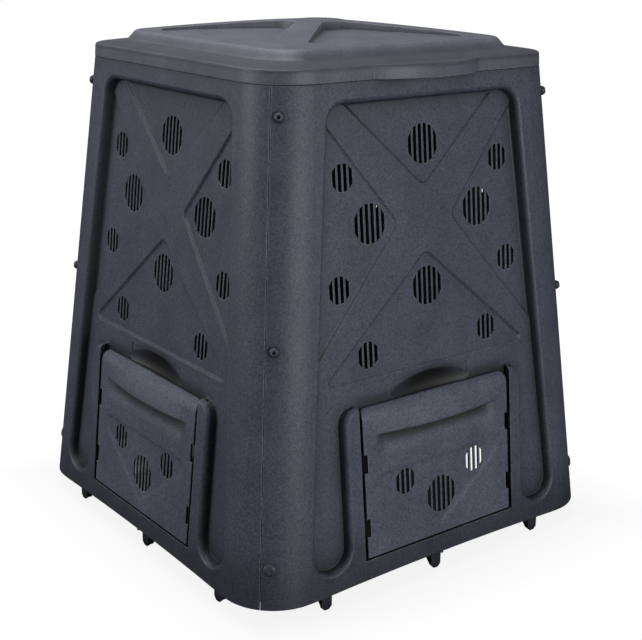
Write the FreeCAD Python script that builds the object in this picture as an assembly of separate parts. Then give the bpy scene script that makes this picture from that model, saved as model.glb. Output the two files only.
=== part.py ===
import FreeCAD, Part
import math
import os
from FreeCAD import Placement, Rotation, Vector

# Compost bin with four snap-together walls, four lift-up hatch doors, corner pins and a lift-off lid.
# Millimetres. Z is up, the front wall faces -Y, and the origin is on the ground under the middle.

os.makedirs("parts", exist_ok=True)

# Walls: the tapered tub that the four panels make
base_width = 681.0
lean_angle = 5.92
wall_height = 714.0
wall_thickness = 4.0
corner_radius_bottom = 85.0
corner_radius_top = 68.0
foot_height = 30.0
foot_arch_half = 240.0
foot_arch_rise = 4.5

# Seams: each panel's left end carries the corner, its right end laps behind the next one's column
seam_offset = 8.0
seam_gap = 1.0
lap_width = 34.0
lap_thickness = 3.0
lap_root = 14.0
lap_end_margin = 10.0
lap_start_share = 0.15
fit_gap = 0.3

# Rim that stands up inside the lid
rim_inset = 6.0
rim_corner_extra = 6.0

# The vents sit a little right of the panel's middle
vent_shift = 2.2

# Hatch door
door_clearance = 3.0
door_face_depth = 6.0
door_thickness = 3.0
door_top = 260.0
door_corner_radius = 10.0
door_roll_height = 10.0
door_roll_depth = 6.5
flange_thickness = 2.4
flange_drop = 14.0
notch_depth = 5.0
notch_height = 28.0
notch_centres = [81.5, 179.0]
pull_half = 138.0
pull_swell = 8.5
pull_fade = 1.3
pull_low = 214.0
pull_smile = 4.0
pull_bury = 0.8
pull_recess_half = 118.0
pull_recess_bottom = 184.0
pull_recess_depth = 2.4
pull_recess_draft = 3.0
pull_recess_shoulder = 4.5
pull_recess_radius = 18.0
shield_half = 120.0
shield_top = 158.0
shield_cheek = 24.0
shield_low = 50.0
shield_depth = 0.8
shield_radius = 14.0
shield_apex_radius = 26.0

# Door bay: lips, grooves, passage and the jambs on either side
bay_half = 149.5
bay_bottom = 32.7
lip_overlap = 10.5
lip_thickness = 8.4
groove_depth = 12.6
passage_step = 12.0
passage_drop = 10.5
passage_bottom = 44.0
passage_radius = 10.0
jamb_width = 25.0
jamb_corner_radius = 24.0
jamb_rise = 4.0

# Relief pressed into each panel, in the panel's own plane: across, up the slope, and depth
column_width = 93.0
relief_top_margin = 23.0
relief_head_radius = 30.0
relief_draft = 3.0
relief_shoulder = 8.0
relief_floor_radius = 3.0
leg_foot = 31.0
leg_end_share = 0.47
arm_depth = 15.0
field_depth = 17.8
rim_lift = 0.25

# Triangles between the arms of the X, which run out to the relief's walls
hub_height = 515.0
apex_radius = 14.0
triangle_corner_radius = 8.0
triangle_side_slope = 1.5
triangle_overrun = 40.0
top_apex_rise = 45.0
top_spread = 1.10
side_apex_half = 47.6
side_climb = 1.205
side_fall = 1.136
bottom_apex_drop = 43.0
bottom_spread = 1.171
band_height = 34.0

# Vents: round patches of upright slots, placed from the hub
slot_width = 6.2
slot_pitch = 9.6
slot_end_least = 2.0
large_vent_radius = 29.0
large_vent_slots = 6
small_vent_radius = 20.0
small_vent_slots = 4
large_vents = [(0.0, 108.2), (-103.0, 5.3), (103.0, 5.3), (0.0, -98.7)]
small_vents = [
    (-147.6, 74.5), (147.6, 74.5), (-162.4, -80.5),
    (162.4, -80.5), (-116.2, -182.1), (116.2, -182.1),
]
door_large_vent = (0.0, 97.1)
door_small_vents = [(-70.1, 134.8), (70.1, 134.8)]

# Label place (bare) and finger scoop in the band over the door
label_half = 74.5
label_rise = 2.5
label_height = 22.5
label_depth = 1.0
scoop_half = 78.0
scoop_reach = 22.0
scoop_depth = 9.0

# Ground stakes under each panel
stake_spacing = 212.0
stake_web_width = 18.0
stake_tip_width = 8.0
stake_tip_slope = 5.0
stake_thickness = 4.0
stake_rib_reach = 54.5
stake_rib_tip = 13.0
stake_inset = 14.5
stake_rise = 18.0

# Corner pins
pin_heights = [59.0, 365.0, 674.0]
pin_angle = 5.0
pin_shank_radius = 4.0
pin_hole_clearance = 0.2
pin_head_radius = 7.2
pin_head_length = 6.5
pin_low_head_radius = 9.0
pin_low_head_length = 3.0
pin_face_share = 0.58
pin_brow_share = 0.88
pin_socket_radius = 2.8
pin_socket_depth = 3.0
pin_barb_radius = 5.2
pin_barb_length = 5.0

# Lid
lid_overhang = 1.5
lid_corner_extra = 5.0
lid_thickness = 3.0
lid_skirt_gap = 1.0
lid_skirt_height = 19.5
lid_skirt_draft = 1.0
lid_edge_round = 3.0
lid_flange_width = 40.5
lid_flange_rise = 5.5
lid_step_width = 15.0
lid_step_rise = 14.5
lid_step_levels = 8
lid_hub_half = 34.0
lid_hub_radius = 20.0
lid_crown_rise = 20.0
lid_crown_power = 1.25
lid_crown_levels = 8
lid_arm_width = 48.0
lid_border = 16.0
lid_sink_edge = 1.6
lid_sink_hub = 12.5
lid_sink_slope = 0.35
lid_apex_radius = 30.0
lid_tip_radius = 15.0
lid_lip_half = 100.0
lid_lip_reach = 26.0

lean = math.radians(lean_angle)
shoulder = foot_height + wall_height
lid_bottom = shoulder + lid_skirt_gap
relief_top = wall_height - relief_top_margin
block_half = bay_half + jamb_width
block_top = door_top + jamb_rise
band_top = block_top + band_height
groove_half = bay_half + lip_overlap
passage_half = bay_half - passage_step
passage_top = door_top - passage_drop


def half_width(z):
    """Outer half width of the tub at a height."""
    return base_width / 2.0 - math.tan(lean) * (z - foot_height)


def corner_radius(z):
    """Outer corner radius of the tub at a height."""
    share = (z - foot_height) / wall_height
    return corner_radius_bottom + share * (corner_radius_top - corner_radius_bottom)


def rounded_wire(points, radii, inset, level):
    """Closed outline with rounded corners, moved inwards by inset, at a height."""
    count = len(points)
    lines = []
    for i in range(count):
        start = Vector(points[i][0], points[i][1], 0)
        end = Vector(points[(i + 1) % count][0], points[(i + 1) % count][1], 0)
        along = (end - start).normalize()
        inward = Vector(-along.y, along.x, 0)
        lines.append((start + inward * inset, along))
    corners = []
    for i in range(count):
        base, before = lines[i - 1]
        other, after = lines[i]
        cross = before.x * after.y - before.y * after.x
        reach = ((other.x - base.x) * after.y - (other.y - base.y) * after.x) / cross
        corner = base + before * reach
        radius = radii[i] - inset if cross > 0 else radii[i] + inset
        turn = math.atan2(abs(cross), before.dot(after))
        tangent = radius * math.tan(turn / 2.0)
        entry = corner - before * tangent
        leave = corner + after * tangent
        inner = (after - before).normalize()
        centre = corner + inner * (radius / math.cos(turn / 2.0))
        middle = centre - inner * radius
        corners.append((entry, middle, leave))
    lift = Vector(0, 0, level)
    edges = []
    for i in range(count):
        entry, middle, leave = corners[i]
        edges.append(Part.Arc(entry + lift, middle + lift, leave + lift).toShape())
        following = corners[(i + 1) % count][0]
        if (following - leave).Length > 1e-6:
            edges.append(Part.makeLine(leave + lift, following + lift))
    return Part.Wire(edges)


def stacked(points, radii, levels):
    """Solid through one outline at several levels, each given as inset and height."""
    wires = [rounded_wire(points, radii, inset, level) for inset, level in levels]
    return Part.makeLoft(wires, True, True)


def drafted(points, radii, top, bottom, draft, inset=0.0):
    """Solid between an outline and the same outline drawn in by the draft."""
    return stacked(points, radii, [(inset, top), (inset + draft, bottom)])


def square(half):
    """Corners of a square, counter-clockwise."""
    return [(-half, -half), (half, -half), (half, half), (-half, half)]


def square_stack(levels):
    """Solid through rounded squares, each given as half width, corner radius and height."""
    wires = [rounded_wire(square(half), [radius] * 4, 0.0, z) for half, radius, z in levels]
    return Part.makeLoft(wires, True, True)


def tub_block(offset, low, high):
    """Tapered block with the tub's outline, drawn in by an offset."""
    levels = []
    for z in (low, high):
        levels.append((half_width(z) - offset, corner_radius(z) - offset, z))
    return square_stack(levels)


def rim_block(inset, low, high):
    """Upright block inside the shoulder's outline."""
    half = half_width(shoulder) - inset
    radius = corner_radius(shoulder) + rim_corner_extra - inset
    return square_stack([(half, radius, low), (half, radius, high)])


def prism(points, low, high):
    """Straight-sided solid on a polygon, between two heights."""
    corners = [Vector(x, y, low) for x, y in points]
    face = Part.Face(Part.makePolygon(corners + corners[:1]))
    return face.extrude(Vector(0, 0, high - low))


def box_between(x0, x1, y0, y1, z0, z1):
    """Box between two corners."""
    return Part.makeBox(x1 - x0, y1 - y0, z1 - z0, Vector(x0, y0, z0))


def flat_at(edge, level):
    """Whether an edge lies in one level."""
    box = edge.BoundBox
    return abs(box.ZMin - level) < 1e-4 and abs(box.ZMax - level) < 1e-4


def pressed(points, radii, depth, draft, shoulder_radius, floor_radius):
    """Cutter of a pressed hollow: its rim rolls over and its floor's edge is rounded."""
    body = drafted(points, radii, rim_lift, -depth, draft)
    box = body.BoundBox
    margin = shoulder_radius * 1.5
    slab = box_between(
        box.XMin - margin, box.XMax + margin, box.YMin - margin, box.YMax + margin,
        rim_lift, rim_lift + margin,
    )
    tool = body.fuse(slab).removeSplitter()
    inside = [
        edge for edge in tool.Edges
        if flat_at(edge, rim_lift)
        and edge.BoundBox.XMin > box.XMin - margin / 2.0
        and edge.BoundBox.XMax < box.XMax + margin / 2.0
        and edge.BoundBox.YMin > box.YMin - margin / 2.0
        and edge.BoundBox.YMax < box.YMax + margin / 2.0
    ]
    tool = tool.makeFillet(shoulder_radius, inside)
    return tool.makeFillet(floor_radius, [edge for edge in tool.Edges if flat_at(edge, -depth)])


def barrel(half_length, reach, depth, centre, surface, grow):
    """Barrel-shaped cutter across the panel, whose mouth in a surface tapers to both ends."""
    radius = (reach ** 2 + depth ** 2) / (2.0 * depth)
    length = half_length + grow
    end = radius - depth + grow
    axis = surface - depth + radius
    bulge = Part.Arc(
        Vector(-length, centre, axis - end), Vector(0, centre, axis - radius - grow),
        Vector(length, centre, axis - end),
    ).toShape()
    sides = Part.makePolygon([
        Vector(length, centre, axis - end), Vector(length, centre, axis),
        Vector(-length, centre, axis), Vector(-length, centre, axis - end),
    ])
    face = Part.Face(Part.Wire([bulge] + sides.Edges))
    return face.revolve(Vector(0, centre, axis), Vector(1, 0, 0), 360.0)


def on_face(shape, shift=0.0):
    """Moves a shape from the flat layout of a panel to the leaning front wall."""
    placed = shape.copy()
    base = Vector(shift, -base_width / 2.0, foot_height)
    placed.Placement = Placement(base, Rotation(Vector(1, 0, 0), 90.0 - lean_angle))
    return placed


def turned(shape, quarter):
    """Copy of a front piece, turned about the bin's axis by quarter turns."""
    copy = shape.copy()
    copy.rotate(Vector(0, 0, 0), Vector(0, 0, 1), 90.0 * quarter)
    return copy


def sector(gap, extra=0.0):
    """Wedge that belongs to the front panel, less half a seam gap, run on past the right seam."""
    reach = base_width
    drop = gap / 2.0 * math.sqrt(2.0)
    slide = extra / math.sqrt(2.0)
    points = [
        (-seam_offset, -drop), (-seam_offset - reach, -drop - reach),
        (-seam_offset + reach + slide, -drop - reach + slide), (-seam_offset + slide, -drop + slide),
    ]
    return prism(points, -1.0, shoulder + 60.0)


def right_strip(inner, outer):
    """Upright slab along the front panel's right seam, from inner to outer past the seam."""
    reach = base_width
    near = lap_start_share
    points = []
    for shift, start in ((inner, near), (inner, 1.0), (outer, 1.0), (outer, near)):
        slide = shift / math.sqrt(2.0)
        points.append((-seam_offset + reach * start + slide, -reach * start + slide))
    return prism(points, -1.0, shoulder + 60.0)


def relief_half(v):
    """Half width of the relief at a height up the panel."""
    return base_width / 2.0 - column_width - math.tan(lean) * v


def relief_outline():
    """Portal outline of the relief: a field over two legs that flank the door's jambs."""
    foot = relief_half(leg_foot)
    head = relief_half(relief_top)
    points = [
        (block_half, leg_foot), (foot, leg_foot), (head, relief_top), (-head, relief_top),
        (-foot, leg_foot), (-block_half, leg_foot), (-block_half, block_top), (block_half, block_top),
    ]
    ends = [(foot - block_half) * leg_end_share] * 2
    heads = [relief_head_radius] * 2
    return points, ends + heads + ends + [jamb_corner_radius] * 2


def triangle_outlines():
    """The four sunk triangles between the arms of the X."""
    high = relief_top + triangle_overrun
    far = relief_half(0.0) + triangle_overrun
    top_apex = hub_height + top_apex_rise
    top_half = top_spread * (high - top_apex)
    bottom_apex = hub_height - bottom_apex_drop
    bottom_half = bottom_spread * (bottom_apex - band_top)
    side_high = hub_height + side_climb * (far - side_apex_half)
    side_low = hub_height - side_fall * (far - side_apex_half)
    outlines = [
        [(0.0, top_apex), (top_half, high), (-top_half, high)],
        [(0.0, bottom_apex), (-bottom_half, band_top), (bottom_half, band_top)],
        [(side_apex_half, hub_height), (far, side_low), (far, side_high)],
        [(-side_apex_half, hub_height), (-far, side_high), (-far, side_low)],
    ]
    radii = [apex_radius] + [triangle_corner_radius] * 2
    return [(points, radii) for points in outlines]


def arms(drop):
    """The raised X with its band and legs, which stays above the triangles' floors."""
    half = relief_half(0.0) + triangle_overrun
    top = -arm_depth - drop
    rise = 1.0
    fall = field_depth - arm_depth + 2.0 * rise
    low = top - fall + rise
    body = box_between(-half, half, 0.0, wall_height, low, top)
    slope = triangle_side_slope
    columns = [
        drafted(points, radii, top + rise, top - fall, slope * (rise + fall), -slope * rise)
        for points, radii in triangle_outlines()
    ]
    return body.cut(columns)


def relief_cutter():
    """Cutter of the panel's pressed relief."""
    points, radii = relief_outline()
    tool = pressed(points, radii, field_depth, relief_draft, relief_shoulder, relief_floor_radius)
    return tool.cut(arms(0.0))


def relief_keeper():
    """Keeps a wall's thickness behind the relief when the inside is hollowed."""
    points, radii = relief_outline()
    levels = [
        (-wall_thickness - relief_shoulder / 2.0, 0.0),
        (-wall_thickness + 1.0, -relief_shoulder),
        (-wall_thickness + relief_draft, -field_depth - wall_thickness),
    ]
    return stacked(points, radii, levels).cut(arms(wall_thickness))


def bay_cutters():
    """Door opening, side grooves behind the lips, ledge under the door's top, and the passage."""
    top = block_top + jamb_corner_radius
    opening = box_between(-bay_half, bay_half, bay_bottom, top, -groove_depth, 1.0)
    groove = box_between(-groove_half, groove_half, bay_bottom, top, -groove_depth, -lip_thickness)
    ledge = box_between(-bay_half, bay_half, passage_top, top, -arm_depth, 1.0)
    low = [(-passage_half, passage_bottom), (passage_half, passage_bottom)]
    high = [(passage_half, passage_top), (-passage_half, passage_top)]
    passage = drafted(low + high, [passage_radius] * 4, 1.0, -40.0, 0.0)
    return opening, groove, ledge, passage


def bay_keepers():
    """Keep a wall's thickness behind the grooves and the ledge."""
    half = groove_half + wall_thickness
    low = bay_bottom - wall_thickness
    frame = box_between(-half, half, low, block_top, -groove_depth - wall_thickness, 1.0)
    half = bay_half + wall_thickness
    low = passage_top - wall_thickness
    ledge = box_between(-half, half, low, block_top, -arm_depth - wall_thickness, 1.0)
    return frame, ledge


def vent_slots(centre, radius, count, top, bottom):
    """Upright slots whose ends follow a circle."""
    slots = []
    for i in range(count):
        middle = (i - (count - 1) / 2.0) * slot_pitch
        left = middle - slot_width / 2.0
        right = middle + slot_width / 2.0
        rise_left = math.sqrt(max(radius ** 2 - left ** 2, slot_end_least ** 2))
        rise_right = math.sqrt(max(radius ** 2 - right ** 2, slot_end_least ** 2))
        u, v = centre
        points = [
            (u + left, v - rise_left), (u + right, v - rise_right),
            (u + right, v + rise_right), (u + left, v + rise_left),
        ]
        slots.append(prism(points, bottom, top))
    return slots


def panel_vents():
    """All vent slots of a panel."""
    slots = []
    top = -arm_depth + 1.0
    for centres, radius, count in (
        (large_vents, large_vent_radius, large_vent_slots),
        (small_vents, small_vent_radius, small_vent_slots),
    ):
        for u, rise in centres:
            centre = (u + vent_shift, hub_height + rise)
            slots += vent_slots(centre, radius, count, top, -40.0)
    return slots


def pin_frame(height):
    """Seat point and outward normal of a corner pin on the front panel's left column."""
    z = foot_height + height
    angle = math.radians(225.0 + pin_angle)
    radius = corner_radius(z)
    centre = -(half_width(z) - radius)
    seat = Vector(centre + radius * math.cos(angle), centre + radius * math.sin(angle), z)
    radius_rate = (corner_radius_top - corner_radius_bottom) / wall_height
    centre_rate = math.tan(lean) + radius_rate
    rise_x = centre_rate + radius_rate * math.cos(angle)
    rise_y = centre_rate + radius_rate * math.sin(angle)
    tilt = -(math.cos(angle) * rise_x + math.sin(angle) * rise_y)
    return seat, Vector(math.cos(angle), math.sin(angle), tilt).normalize()


def pin_hole(height):
    """Bore for a pin through the column and the lap behind it."""
    seat, normal = pin_frame(height)
    depth = 2.0 * (wall_thickness + fit_gap + lap_thickness)
    radius = pin_shank_radius + pin_hole_clearance
    return Part.makeCylinder(radius, 2.0 * depth, seat - normal * depth, normal)


def stake(u):
    """Ground stake: a blunt web with a sloping rib that runs up the wall as a gusset."""
    wall_y = -half_width(foot_height)
    web_y = wall_y + stake_inset
    wide = stake_web_width / 2.0
    narrow = stake_tip_width / 2.0
    high = foot_height + stake_rise
    web = [
        Vector(u - wide, web_y, high), Vector(u - wide, web_y, stake_tip_slope),
        Vector(u - narrow, web_y, 0), Vector(u + narrow, web_y, 0),
        Vector(u + wide, web_y, stake_tip_slope), Vector(u + wide, web_y, high),
    ]
    plate = Part.Face(Part.makePolygon(web + web[:1])).extrude(Vector(0, stake_thickness, 0))
    side = u - stake_thickness / 2.0
    rib = [
        Vector(side, wall_y + 1.0, foot_height + 1.0), Vector(side, web_y, foot_height),
        Vector(side, web_y + 1.0, 0), Vector(side, web_y + stake_rib_tip, 0),
        Vector(side, wall_y + stake_rib_reach, foot_height),
        Vector(side, web_y + 2.0, high), Vector(side, web_y - wall_thickness, high),
    ]
    fin = Part.Face(Part.makePolygon(rib + rib[:1])).extrude(Vector(stake_thickness, 0, 0))
    return plate.fuse(fin)


def label_cutter():
    """Bare sunk label place over the door."""
    low = block_top + label_rise
    return box_between(
        -label_half, label_half, low, low + label_height, -arm_depth - label_depth, -arm_depth + 1.0
    )


def foot_arch():
    """Cutter that lifts the wall's foot a little between the outer stakes."""
    low = Vector(-foot_arch_half, 0, -60.0)
    high = Vector(foot_arch_half, 0, -60.0)
    arc = Part.Arc(low, Vector(0, foot_arch_rise, -60.0), high).toShape()
    drop = Vector(0, -foot_arch_rise, 0)
    sides = Part.makePolygon([high, high + drop, low + drop, low])
    return Part.Face(Part.Wire([arc] + sides.Edges)).extrude(Vector(0, 0, 80.0))


def scoop_cutter(grow):
    """Finger scoop behind the door's top edge."""
    return barrel(scoop_half, scoop_reach, scoop_depth, block_top + jamb_rise, -arm_depth, grow)


def make_lap():
    """Tongue at the right end that lies behind the next panel's column."""
    low = foot_height + lap_end_margin
    high = shoulder - wall_thickness - lap_end_margin
    near = wall_thickness + fit_gap
    far = near + lap_thickness
    tongue = tub_block(near, low, high).cut(tub_block(far, low - 1.0, high + 1.0))
    root = tub_block(wall_thickness - 1.0, low, high).cut(tub_block(far, low - 1.0, high + 1.0))
    tongue = tongue.common(right_strip(-lap_root, lap_width))
    root = root.common(right_strip(-lap_root, -seam_gap))
    return root.fuse(tongue)


def make_panel():
    """Front panel: pressed wall, corner column, lap, rim, vents, door bay and stakes."""
    rim_top = lid_underside(half_width(shoulder) - rim_inset) - fit_gap
    outer = tub_block(0.0, foot_height, shoulder)
    rim_outer = rim_block(rim_inset, shoulder - 1.0, rim_top)
    inner = tub_block(wall_thickness, foot_height - 1.0, shoulder - wall_thickness)
    rim_inner = rim_block(rim_inset + wall_thickness, shoulder - 2.0 * wall_thickness, rim_top + 1.0)
    opening, groove, ledge, passage = bay_cutters()
    skin = outer.fuse(rim_outer).common(sector(seam_gap))
    skin = skin.cut([on_face(tool) for tool in (relief_cutter(), opening, groove, ledge)])
    keepers = [relief_keeper(), scoop_cutter(wall_thickness)]
    keepers += bay_keepers()
    core = inner.fuse(rim_inner).cut([on_face(keeper) for keeper in keepers])
    panel = skin.cut(core).fuse(make_lap())
    tools = [passage, label_cutter(), scoop_cutter(0.0), foot_arch()] + panel_vents()
    cuts = [on_face(tool) for tool in tools]
    for height in pin_heights:
        cuts.append(pin_hole(height))
        cuts.append(turned(pin_hole(height), 1))
    panel = panel.cut(cuts)
    stakes = [stake(u) for u in (-stake_spacing, 0.0, stake_spacing)]
    return panel.fuse(stakes).removeSplitter()


def door_plate(half, bottom, front):
    """The door's plate, whose top edge rolls back to the ledge."""
    back = front - door_thickness
    start = door_top - door_roll_height
    radius = (door_roll_height ** 2 + door_roll_depth ** 2) / (2.0 * door_roll_depth)
    turn = math.asin(door_roll_height / radius)
    arcs = []
    for reach in (radius, radius - door_thickness):
        places = []
        for angle in (0.0, turn / 2.0, turn):
            v = start + reach * math.sin(angle)
            places.append(Vector(-half, v, front - radius + reach * math.cos(angle)))
        arcs.append(places)
    outer, inner = arcs
    low_front = Vector(-half, bottom, front)
    low_back = Vector(-half, bottom, back)
    wire = Part.Wire([
        Part.makeLine(low_front, outer[0]), Part.Arc(*outer).toShape(),
        Part.makeLine(outer[2], inner[2]), Part.Arc(inner[2], inner[1], inner[0]).toShape(),
        Part.makeLine(inner[0], low_back), Part.makeLine(low_back, low_front),
    ])
    plate = Part.Face(wire).extrude(Vector(2.0 * half, 0, 0))
    outline = [(-half, bottom), (half, bottom), (half, door_top), (-half, door_top)]
    corners = [door_thickness] * 2 + [door_corner_radius] * 2
    return plate.common(drafted(outline, corners, 10.0, -20.0, 0.0))


def make_door():
    """Hatch door with side flanges, notched edges, pull lip, shield relief and vents."""
    half = bay_half - door_clearance
    bottom = bay_bottom + fit_gap
    front = -door_face_depth
    back = front - door_thickness
    flange_inner = passage_half + 1.0
    flange_outer = groove_half - 2.0 * fit_gap
    solids = [recess_tray(front)]
    cuts = [recess_cutter(front), shield_cutter(front)]
    for side in (-1, 1):
        top = door_top - flange_drop
        low, high = sorted((side * flange_inner, side * flange_outer))
        solids.append(box_between(low, high, bottom, top, back - flange_thickness, back))
        low, high = sorted((side * (half - notch_depth), side * (groove_half + 1.0)))
        for centre in notch_centres:
            foot = centre - notch_height / 2.0
            cuts.append(box_between(low, high, foot, foot + notch_height, -groove_depth, front + 1.0))
    for u, v in door_small_vents:
        cuts += vent_slots((u + vent_shift, v), small_vent_radius, small_vent_slots, 2.0, -20.0)
    u, v = door_large_vent
    cuts += vent_slots((u + vent_shift, v), large_vent_radius, large_vent_slots, 2.0, -20.0)
    door = door_plate(half, bottom, front).fuse(solids).cut(cuts)
    return on_face(door.fuse(pull_lip(front)).removeSplitter())


def lip_section(u, front):
    """Profile of the pull lip at a place across the door: a swelling with a crisp lower edge."""
    share = max(0.0, 1.0 - (u / pull_half) ** 2)
    swell = (pull_swell + pull_bury) * share ** pull_fade - pull_bury
    low = pull_low + pull_smile * (u / pull_half) ** 2
    root = front - door_thickness * 0.7
    top = door_top - door_roll_height + 2.0
    curve = [(0.0, 0.72), (1.6, 0.95), (5.0, 1.0), (14.0, 0.82), (26.0, 0.42)]
    crest = [Vector(u, low + rise, front + swell * part) for rise, part in curve]
    crest.append(Vector(u, top, front - 0.6))
    spline = Part.BSplineCurve()
    spline.interpolate(crest)
    ends = [crest[-1], Vector(u, top, root), Vector(u, low - 0.6, root), crest[0]]
    return Part.Wire([spline.toShape()] + Part.makePolygon(ends).Edges)


def pull_lip(front):
    """Pull lip: the swollen band under the door's top edge, fading to both ends."""
    shares = (-1.0, -0.9, -0.72, -0.42, 0.0, 0.42, 0.72, 0.9, 1.0)
    return Part.makeLoft([lip_section(pull_half * share, front) for share in shares], True, False)


def recess_outline():
    """Outline of the finger recess under the pull lip."""
    top = pull_low + 2.0 * pull_recess_shoulder
    half = pull_recess_half
    low = [(-half, pull_recess_bottom), (half, pull_recess_bottom)]
    high = [(half, top), (-half, top)]
    return low + high, [pull_recess_radius] * 2 + [pull_recess_shoulder * 2.0] * 2


def recess_cutter(front):
    """Finger recess under the pull lip, with soft edges."""
    points, radii = recess_outline()
    tool = pressed(
        points, radii, pull_recess_depth, pull_recess_draft, pull_recess_shoulder, pull_recess_shoulder / 2.0
    )
    tool.translate(Vector(0, 0, front))
    return tool


def recess_tray(front):
    """Keeps the door's thickness behind the finger recess."""
    points, radii = recess_outline()
    top = front - door_thickness + 0.5
    return drafted(points, radii, top, front - door_thickness - pull_recess_depth, 1.0, -1.0)


def shield_cutter(front):
    """Faint sunk shield round the door's vents."""
    cheek = shield_top - shield_cheek
    points = [
        (-shield_half, shield_top), (-shield_half + 4.0, cheek), (0.0, shield_low),
        (shield_half - 4.0, cheek), (shield_half, shield_top),
    ]
    radii = [6.0, shield_radius, shield_apex_radius, shield_radius, 6.0]
    return drafted(points, radii, front + 0.5, front - shield_depth, 1.5)


def make_pin(height, head_radius, head_length, hollow):
    """Push-in corner pin: domed head, shank and barbed tip."""
    seat, normal = pin_frame(height)
    grip = wall_thickness + fit_gap + lap_thickness + 4.0 * fit_gap
    tip = -grip - pin_barb_length
    top = head_length
    profile = [
        (0.0, top), (head_radius * pin_face_share, top), (head_radius * pin_brow_share, top * 0.62),
        (head_radius, top * 0.2), (head_radius, fit_gap), (pin_shank_radius, fit_gap),
        (pin_shank_radius, -grip), (pin_barb_radius, -grip), (pin_shank_radius * 0.6, tip), (0.0, tip),
    ]
    points = [Vector(r, 0, z) for r, z in profile]
    face = Part.Face(Part.makePolygon(points + points[:1]))
    pin = face.revolve(Vector(0, 0, 0), Vector(0, 0, 1), 360.0)
    if hollow:
        socket = Vector(0, 0, top - pin_socket_depth)
        pin = pin.cut(Part.makeCylinder(pin_socket_radius, pin_socket_depth + 1.0, socket))
    pin.Placement = Placement(seat, Rotation(Vector(0, 0, 1), normal))
    return pin


def lid_levels(offset):
    """Rounded squares up the lid's edge to the crown's foot, drawn in by an offset."""
    half = half_width(shoulder) + lid_overhang
    radius = corner_radius_top + lid_corner_extra
    top = lid_bottom + lid_skirt_height
    ease = lid_edge_round
    edge = half - lid_skirt_draft
    flange = half - lid_flange_width
    flange_top = top + lid_flange_rise
    shape = [
        (half, lid_bottom - (1.0 if offset else 0.0)), (edge, top - ease),
        (edge - ease * 0.3, top - ease * 0.3), (edge - ease, top),
        (flange + 4.0, flange_top - 0.6),
    ]
    for i in range(lid_step_levels + 1):
        share = i / lid_step_levels
        rise = share * share * (3.0 - 2.0 * share)
        shape.append((flange - share * lid_step_width, flange_top + rise * lid_step_rise))
    levels = []
    for i, (level_half, z) in enumerate(shape):
        inward = half - level_half
        level_radius = radius - inward * 0.42
        drop = 0.0 if i == 0 else offset
        levels.append((level_half - offset, level_radius - offset, z - drop))
    return levels


def lid_underside(half):
    """Height of the flange's underside at a half width, where the rim carries it."""
    (outer, _, low), (inner, _, high) = lid_levels(lid_thickness)[3:5]
    return low + (high - low) * (outer - half) / (outer - inner)


def crown_levels(offset, sink_edge, sink_hub):
    """Rounded squares from the plateau's edge up a low dome to the hub, sunk by an amount."""
    half, radius, z = lid_levels(offset)[-1]
    levels = []
    for i in range(lid_crown_levels + 1):
        share = 1.0 - i / lid_crown_levels
        bend = share ** lid_crown_power
        rise = lid_crown_rise * (1.0 - bend)
        sink = sink_hub + (sink_edge - sink_hub) * bend
        level_half = lid_hub_half + share * (half - lid_hub_half)
        level_radius = lid_hub_radius + share * (radius - lid_hub_radius)
        levels.append((level_half, level_radius, z + rise - sink))
    return levels


def floor_block(offset):
    """Everything under the floors of the sunk triangles."""
    levels = crown_levels(offset, lid_sink_edge, lid_sink_hub)
    half, radius, _ = levels[0]
    return square_stack([(half, radius, lid_bottom - 10.0)] + levels)


def sunk_triangle(quarter, grow):
    """Column over one of the four triangles between the lid's arms, with leaning walls."""
    plateau_half, _, plateau = lid_levels(0.0)[-1]
    half = plateau_half - lid_border
    side = lid_arm_width / math.sqrt(2.0)
    points = [(0.0, -side), (-half + side, -half), (half - side, -half)]
    radii = [lid_apex_radius, lid_tip_radius, lid_tip_radius]
    rise = 2.0 * lid_crown_rise
    fall = lid_sink_edge + lid_thickness + 4.0
    slope = lid_sink_slope
    top = plateau + lid_sink_hub / 2.0 + rise
    bottom = plateau - fall
    column = drafted(points, radii, top, bottom, slope * (top - bottom), -slope * rise - grow)
    return turned(column, quarter)


def lip_bump(offset):
    """Finger lip that swells out of the lid's front edge."""
    lid_half = half_width(shoulder) + lid_overhang
    reach = lid_half + lid_lip_reach - offset
    half = lid_lip_half - offset
    root = lid_half - 8.0
    low = lid_bottom - (1.0 if offset else 0.0)
    top = lid_bottom + lid_skirt_height - offset
    wires = []
    for z, shrink in ((low, 0.0), (top - lid_edge_round, 0.5), (top, lid_edge_round)):
        start = Vector(-half, -root, z)
        side_in = Vector(-half, -lid_half + 2.0 + offset, z)
        middle = Vector(0, -reach + shrink, z)
        side_out = Vector(half, -lid_half + 2.0 + offset, z)
        end = Vector(half, -root, z)
        wires.append(Part.Wire([
            Part.makeLine(start, side_in), Part.Arc(side_in, middle, side_out).toShape(),
            Part.makeLine(side_out, end), Part.makeLine(end, start),
        ]))
    return Part.makeLoft(wires, True, True)


def lid_body(offset):
    """Outer or inner form of the lid: skirt, step, crown and finger lip with the triangles sunk."""
    crown = square_stack(crown_levels(offset, 0.0, 0.0))
    body = square_stack(lid_levels(offset)).fuse([crown, lip_bump(offset)])
    floors = floor_block(offset)
    return body.cut([sunk_triangle(quarter, offset).cut(floors) for quarter in range(4)])


def make_lid():
    """Lift-off lid: skirt, finger lip, step and crown with four sunk triangles."""
    return lid_body(0.0).cut(lid_body(lid_thickness)).removeSplitter()


def save(name, shape):
    """Writes one piece."""
    if len(shape.Solids) != 1:
        print("warning", name, "solids", len(shape.Solids))
    solid = shape.Solids[0] if len(shape.Solids) == 1 else shape
    if not solid.isValid():
        print("warning", name, "is not valid")
    solid.exportStep("parts/" + name + ".step")
    print(name, "volume cm3", round(solid.Volume / 1000.0, 1), "faces", len(solid.Faces))


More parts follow.
